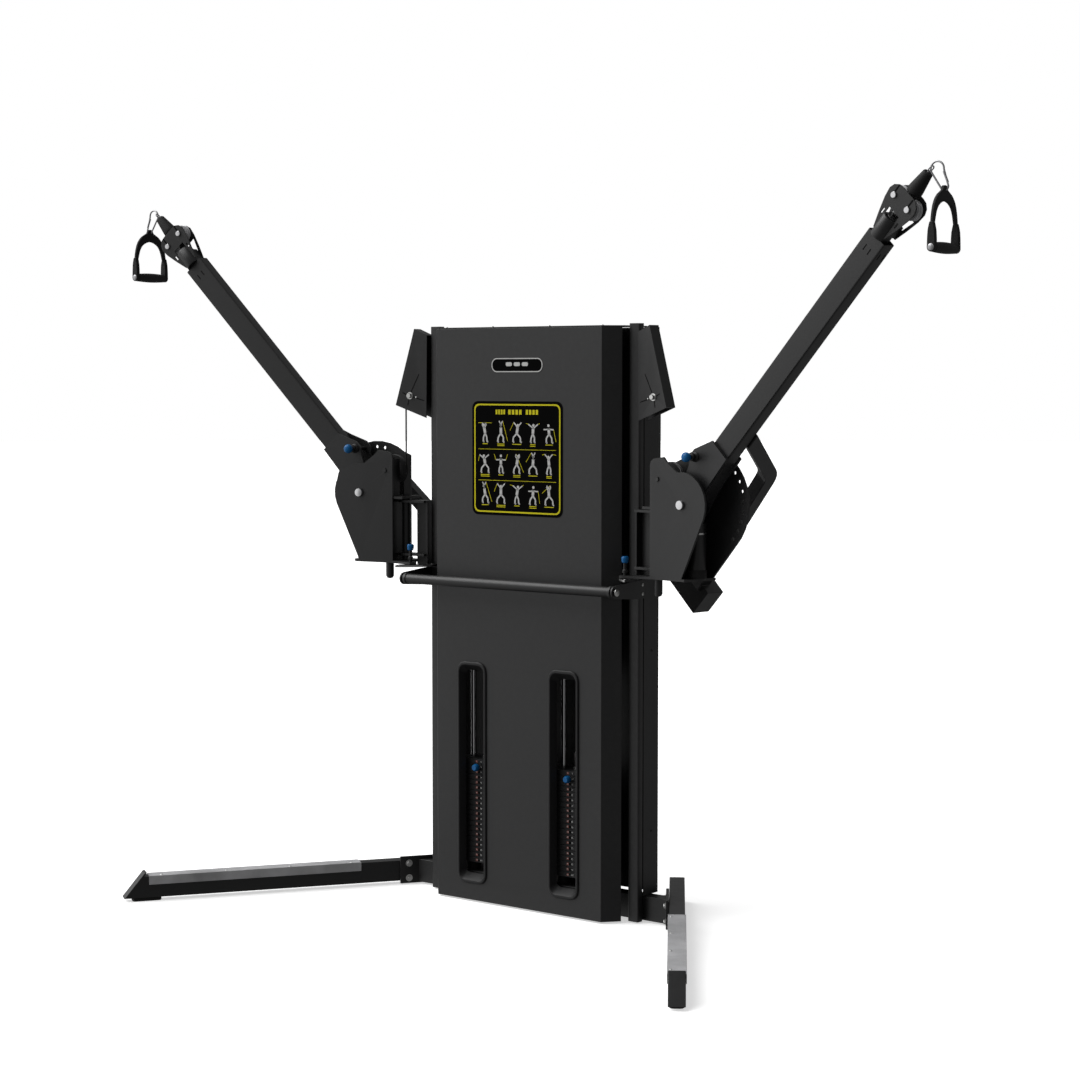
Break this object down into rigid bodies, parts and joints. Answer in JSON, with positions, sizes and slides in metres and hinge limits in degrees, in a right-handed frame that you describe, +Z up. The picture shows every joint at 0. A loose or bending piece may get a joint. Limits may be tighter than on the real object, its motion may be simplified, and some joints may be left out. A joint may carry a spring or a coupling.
{
  "type": "dual cable crossover machine",
  "caption": "Twin-stack cable machine: slim black tower, V base, and two arms that yaw and pitch, each ending in a swivelling pulley head with a hanging stirrup handle.",
  "frame": {"origin": "on the floor at the middle of the machine's outer box", "axes": "+Z up, -Y to the front of the machine, +X to the right as seen by a person looking at its front"},
  "size_m": [3.3208, 1.2146, 2.4153],
  "materials": {
    "cover_black": "satin black powder coat, fine orange peel",
    "frame_black": "satin black powder coat on steel tube and plate",
    "trim_black": "moulded black window frame, fine grain",
    "rubber_black": "matt black rubber and coated cable",
    "bright_steel": "polished steel",
    "stack_grey": "black painted weight plates",
    "knob_blue": "blue moulded knob",
    "tread_silver": "silver grit-coated anti-slip plate",
    "pulley_grey": "light grey nylon wheel"
  },
  "bodies": {
    "frame": {"front_cover_upper": "cover_black", "front_cover_lower": "cover_black", "rear_cover": "cover_black", "top_plate": "frame_black", "base_frame": "frame_black", "grip_bar": "frame_black", "grip_bracket_left": "frame_black", "window_bezel_left": "trim_black", "column_left": "frame_black", "leg_left": "frame_black", "leg_tread_left": "tread_silver", "foot_front_left": "rubber_black", "foot_rear_left": "rubber_black", "resting_plates_left": "stack_grey", "guide_frame_left": "bright_steel", "wing_left": "frame_black", "yaw_bracket_left": "frame_black", "cable_drop_left": "rubber_black", "grip_bracket_right": "frame_black", "window_bezel_right": "trim_black", "column_right": "frame_black", "leg_right": "frame_black", "leg_tread_right": "tread_silver", "foot_front_right": "rubber_black", "foot_rear_right": "rubber_black", "resting_plates_right": "stack_grey", "guide_frame_right": "bright_steel", "wing_right": "frame_black", "yaw_bracket_right": "frame_black", "cable_drop_right": "rubber_black"},
    "wing_pulley_left": {"wing_pulley_left": "pulley_grey"},
    "stack_left": {"lifted_plates_left": "stack_grey"},
    "selector_pin_left": {"selector_pin_left": "knob_blue"},
    "carriage_left": {"carriage_left": "frame_black"},
    "yaw_pin_left": {"yaw_pin_left": "knob_blue"},
    "carriage_pulley_left": {"carriage_pulley_left": "pulley_grey"},
    "arm_left": {"arm_left": "frame_black", "arm_handle_left": "frame_black"},
    "pitch_pin_left": {"pitch_pin_left": "knob_blue"},
    "head_left": {"head_left": "frame_black"},
    "head_pulley_upper_left": {"head_pulley_upper_left": "pulley_grey"},
    "head_pulley_lower_left": {"head_pulley_lower_left": "pulley_grey"},
    "cable_end_left": {"cable_end_left": "rubber_black"},
    "handle_left": {"carabiner_left": "bright_steel", "stirrup_left": "rubber_black"},
    "wing_pulley_right": {"wing_pulley_right": "pulley_grey"},
    "stack_right": {"lifted_plates_right": "stack_grey"},
    "selector_pin_right": {"selector_pin_right": "knob_blue"},
    "carriage_right": {"carriage_right": "frame_black"},
    "yaw_pin_right": {"yaw_pin_right": "knob_blue"},
    "carriage_pulley_right": {"carriage_pulley_right": "pulley_grey"},
    "arm_right": {"arm_right": "frame_black", "arm_handle_right": "frame_black"},
    "pitch_pin_right": {"pitch_pin_right": "knob_blue"},
    "head_right": {"head_right": "frame_black"},
    "head_pulley_upper_right": {"head_pulley_upper_right": "pulley_grey"},
    "head_pulley_lower_right": {"head_pulley_lower_right": "pulley_grey"},
    "cable_end_right": {"cable_end_right": "rubber_black"},
    "handle_right": {"carabiner_right": "bright_steel", "stirrup_right": "rubber_black"}
  },
  "joints": [
    {"name": "stack_lift_left", "type": "slide", "parent": "frame", "child": "stack_left", "axis": [0, 0, 1], "range_m": [0, 0.3]},
    {"name": "selector_pin_pull_left", "type": "slide", "parent": "stack_left", "child": "selector_pin_left", "axis": [0, -1, 0], "range_m": [0, 0.09]},
    {"name": "wing_pulley_spin_left", "type": "hinge", "parent": "frame", "child": "wing_pulley_left", "pos_m": [-0.51897, 0.19711, 1.734], "axis": [-0.1599, 0.9871, 0], "continuous": true},
    {"name": "arm_yaw_left", "type": "hinge", "parent": "frame", "child": "carriage_left", "pos_m": [-0.54, 0.1937, 1.27], "axis": [0, 0, 1], "range_deg": [-20, 20]},
    {"name": "yaw_pin_lift_left", "type": "slide", "parent": "carriage_left", "child": "yaw_pin_left", "axis": [0, 0, 1], "range_m": [0, 0.012]},
    {"name": "carriage_pulley_spin_left", "type": "hinge", "parent": "carriage_left", "child": "carriage_pulley_left", "pos_m": [-0.58936, 0.18571, 1.474], "axis": [-0.1599, 0.9871, 0], "continuous": true},
    {"name": "arm_pitch_left", "type": "hinge", "parent": "carriage_left", "child": "arm_left", "pos_m": [-0.69202, 0.16908, 1.395], "axis": [-0.1599, 0.9871, 0], "range_deg": [-96, 24]},
    {"name": "pitch_pin_pull_left", "type": "slide", "parent": "arm_left", "child": "pitch_pin_left", "axis": [0.1599, -0.9871, 0], "range_m": [0, 0.018]},
    {"name": "head_swivel_left", "type": "hinge", "parent": "arm_left", "child": "head_left", "pos_m": [-1.42511, 0.05034, 2.20676], "axis": [-0.6807, -0.1103, 0.7242], "continuous": true},
    {"name": "head_pulley_upper_spin_left", "type": "hinge", "parent": "head_left", "child": "head_pulley_upper_left", "pos_m": [-1.48898, 0.04, 2.32328], "axis": [-0.1599, 0.9871, 0], "continuous": true},
    {"name": "head_pulley_lower_spin_left", "type": "hinge", "parent": "head_left", "child": "head_pulley_lower_left", "pos_m": [-1.53688, 0.03224, 2.27708], "axis": [-0.1599, 0.9871, 0], "continuous": true},
    {"name": "cable_pull_left", "type": "slide", "parent": "head_left", "child": "cable_end_left", "axis": [-0.6807, -0.1103, 0.7242], "range_m": [0, 0.6]},
    {"name": "handle_swing_left", "type": "hinge", "parent": "cable_end_left", "child": "handle_left", "pos_m": [-1.60211, 0.02168, 2.39505], "axis": [-0.0035, 1, 0], "range_deg": [0, 50]},
    {"name": "stack_lift_right", "type": "slide", "parent": "frame", "child": "stack_right", "axis": [0, 0, 1], "range_m": [0, 0.3]},
    {"name": "selector_pin_pull_right", "type": "slide", "parent": "stack_right", "child": "selector_pin_right", "axis": [0, -1, 0], "range_m": [0, 0.09]},
    {"name": "wing_pulley_spin_right", "type": "hinge", "parent": "frame", "child": "wing_pulley_right", "pos_m": [0.51897, 0.19711, 1.734], "axis": [0.1599, 0.9871, 0], "continuous": true},
    {"name": "arm_yaw_right", "type": "hinge", "parent": "frame", "child": "carriage_right", "pos_m": [0.54, 0.1937, 1.27], "axis": [0, 0, -1], "range_deg": [-20, 20]},
    {"name": "yaw_pin_lift_right", "type": "slide", "parent": "carriage_right", "child": "yaw_pin_right", "axis": [0, 0, 1], "range_m": [0, 0.012]},
    {"name": "carriage_pulley_spin_right", "type": "hinge", "parent": "carriage_right", "child": "carriage_pulley_right", "pos_m": [0.58936, 0.18571, 1.474], "axis": [0.1599, 0.9871, 0], "continuous": true},
    {"name": "arm_pitch_right", "type": "hinge", "parent": "carriage_right", "child": "arm_right", "pos_m": [0.69202, 0.16908, 1.395], "axis": [-0.1599, -0.9871, 0], "range_deg": [-96, 24]},
    {"name": "pitch_pin_pull_right", "type": "slide", "parent": "arm_right", "child": "pitch_pin_right", "axis": [-0.1599, -0.9871, 0], "range_m": [0, 0.018]},
    {"name": "head_swivel_right", "type": "hinge", "parent": "arm_right", "child": "head_right", "pos_m": [1.42511, 0.05034, 2.20676], "axis": [0.6807, -0.1103, 0.7242], "continuous": true},
    {"name": "head_pulley_upper_spin_right", "type": "hinge", "parent": "head_right", "child": "head_pulley_upper_right", "pos_m": [1.48898, 0.04, 2.32328], "axis": [0.1599, 0.9871, 0], "continuous": true},
    {"name": "head_pulley_lower_spin_right", "type": "hinge", "parent": "head_right", "child": "head_pulley_lower_right", "pos_m": [1.53688, 0.03224, 2.27708], "axis": [0.1599, 0.9871, 0], "continuous": true},
    {"name": "cable_pull_right", "type": "slide", "parent": "head_right", "child": "cable_end_right", "axis": [0.6807, -0.1103, 0.7242], "range_m": [0, 0.6]},
    {"name": "handle_swing_right", "type": "hinge", "parent": "cable_end_right", "child": "handle_right", "pos_m": [1.60211, 0.02168, 2.39505], "axis": [-0.0035, -1, 0], "range_deg": [0, 50]}
  ],
  "couplings": [
    {"joint": "cable_pull_left", "follows": "stack_lift_left", "ratio": 2},
    {"joint": "cable_pull_right", "follows": "stack_lift_right", "ratio": 2}
  ]
}
